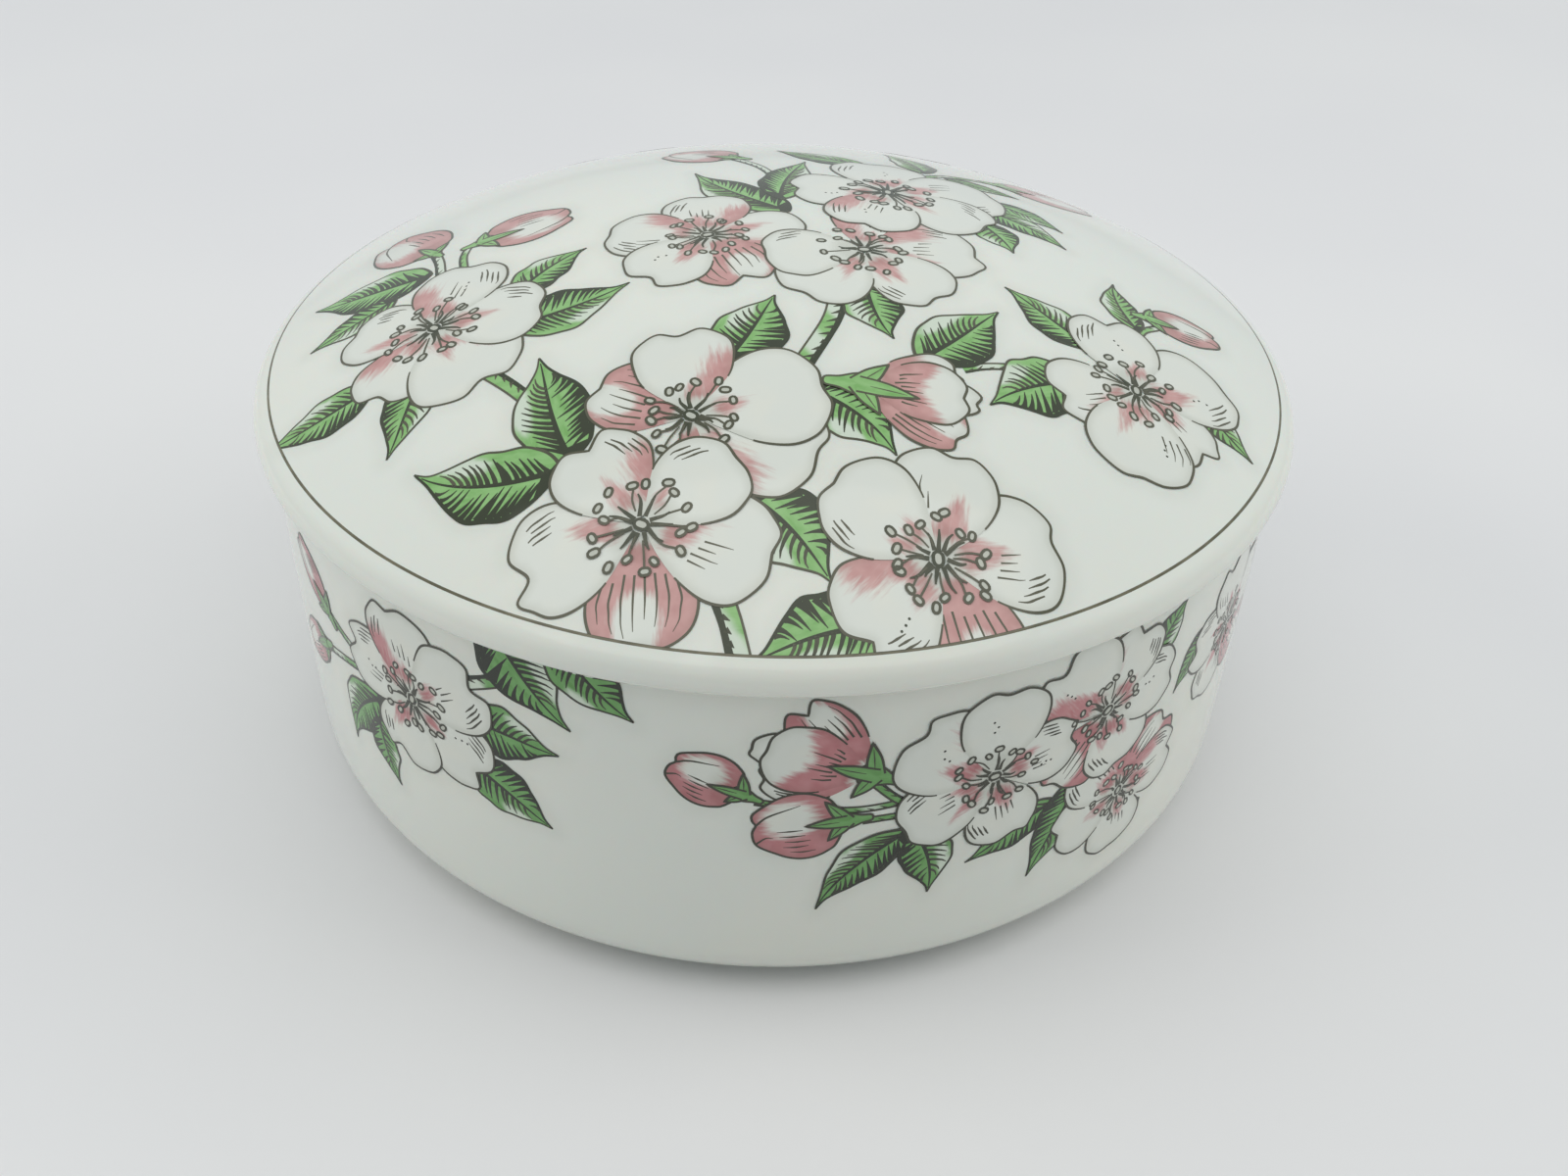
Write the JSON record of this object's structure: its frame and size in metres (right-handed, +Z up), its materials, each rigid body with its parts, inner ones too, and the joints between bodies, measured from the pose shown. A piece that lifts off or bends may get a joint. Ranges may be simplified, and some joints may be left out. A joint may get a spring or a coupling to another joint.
{
  "type": "powder jar",
  "caption": "Round straight-sided porcelain jar with a shallow domed lift-off lid that locates inside its rim.",
  "frame": {"origin": "on the jar's axis, in the plane that its foot ring stands on", "axes": "+Z up along the jar's axis, which is also the way the lid lifts; the front of the decoration faces -Y"},
  "size_m": [0.12, 0.12, 0.0625],
  "materials": {
    "porcelain": "clear glossy glaze over white porcelain, bare and matt on the foot ring and on the faces where lid and bowl meet",
    "enamel": "fired-on dark olive-brown enamel, glossy"
  },
  "bodies": {
    "bowl": {"bowl": "porcelain"},
    "lid": {"lid": "porcelain", "lid_pinstripe": "enamel"}
  },
  "joints": [
    {"name": "lid_lift", "type": "slide", "parent": "bowl", "child": "lid", "axis": [0, 0, 1], "range_m": [0, 0.07]}
  ]
}
